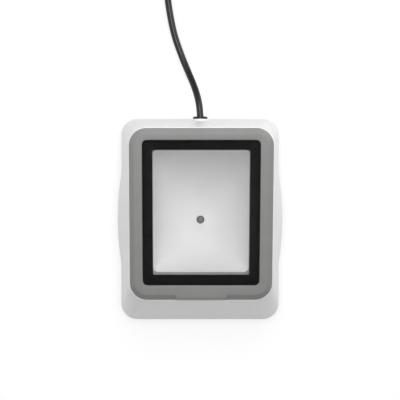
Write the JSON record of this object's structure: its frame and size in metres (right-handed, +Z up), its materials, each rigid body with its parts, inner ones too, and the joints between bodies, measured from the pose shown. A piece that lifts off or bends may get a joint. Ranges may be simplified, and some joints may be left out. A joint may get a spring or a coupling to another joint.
{
  "type": "desktop qr code scanner",
  "caption": "Desktop QR code scanner: white drafted housing, sloping grey cover with a black-bordered pane over a white bowl with a camera hole, and a USB lead at the back.",
  "frame": {"origin": "on the table under the middle of the scanner, without its lead", "axes": "+X to the right, +Y to the back where the lead leaves, +Z up; the user stands at -Y"},
  "size_m": [0.109, 0.2763, 0.0698],
  "materials": {
    "housing_white": "satin white ABS, fine moulded skin",
    "cover_grey": "satin mid-grey ABS",
    "window_glass": "clear flat pane, polished",
    "gasket_black": "black foam frame behind the pane",
    "bowl_white": "milky white diffusing plastic",
    "screw_steel": "zinc-plated steel",
    "plate_black": "fine-textured black ABS",
    "foot_rubber": "matt black rubber",
    "board_green": "green solder mask on glass-fibre board",
    "board_white": "white solder mask on glass-fibre board",
    "chip_black": "black moulded component bodies",
    "lens_glass": "coated camera lens",
    "led_white": "white LED package with pale yellow gel",
    "connector_white": "natural nylon connector bodies",
    "cord_black": "black PVC jacket, satin",
    "plug_steel": "nickel-plated steel shell"
  },
  "bodies": {
    "root": {"housing": "housing_white", "top_cover": "cover_grey", "window_glass": "window_glass", "window_gasket": "gasket_black", "diffuser": "bowl_white", "cover_screws": "screw_steel", "diffuser_screws": "screw_steel", "bottom_plate": "plate_black", "base_screws": "screw_steel", "foot_front_left": "foot_rubber", "foot_front_right": "foot_rubber", "foot_back_left": "foot_rubber", "foot_back_right": "foot_rubber", "main_board": "board_green", "board_screws": "screw_steel", "image_sensor": "chip_black", "lens_holder": "chip_black", "lens_barrel": "chip_black", "lens_glass": "lens_glass", "processor": "chip_black", "memory_chip": "chip_black", "power_chip": "chip_black", "buzzer": "chip_black", "board_header": "chip_black", "board_spacers": "screw_steel", "led_board": "board_white", "led_board_screws": "screw_steel", "led_1": "led_white", "led_2": "led_white", "led_3": "led_white", "led_4": "led_white", "led_5": "led_white", "led_6": "led_white", "led_7": "led_white", "led_8": "led_white", "lead_socket": "connector_white", "lead_plug": "connector_white", "inner_lead": "cord_black", "cable_clamp": "plate_black", "clamp_screws": "screw_steel", "cable_grommet": "cord_black", "cord": "cord_black", "cord_coil": "cord_black", "cord_tail": "cord_black", "cord_tie_1": "cord_black", "cord_tie_2": "cord_black", "usb_body": "cord_black", "usb_shell": "plug_steel", "usb_tongue": "connector_white"}
  },
  "joints": []
}
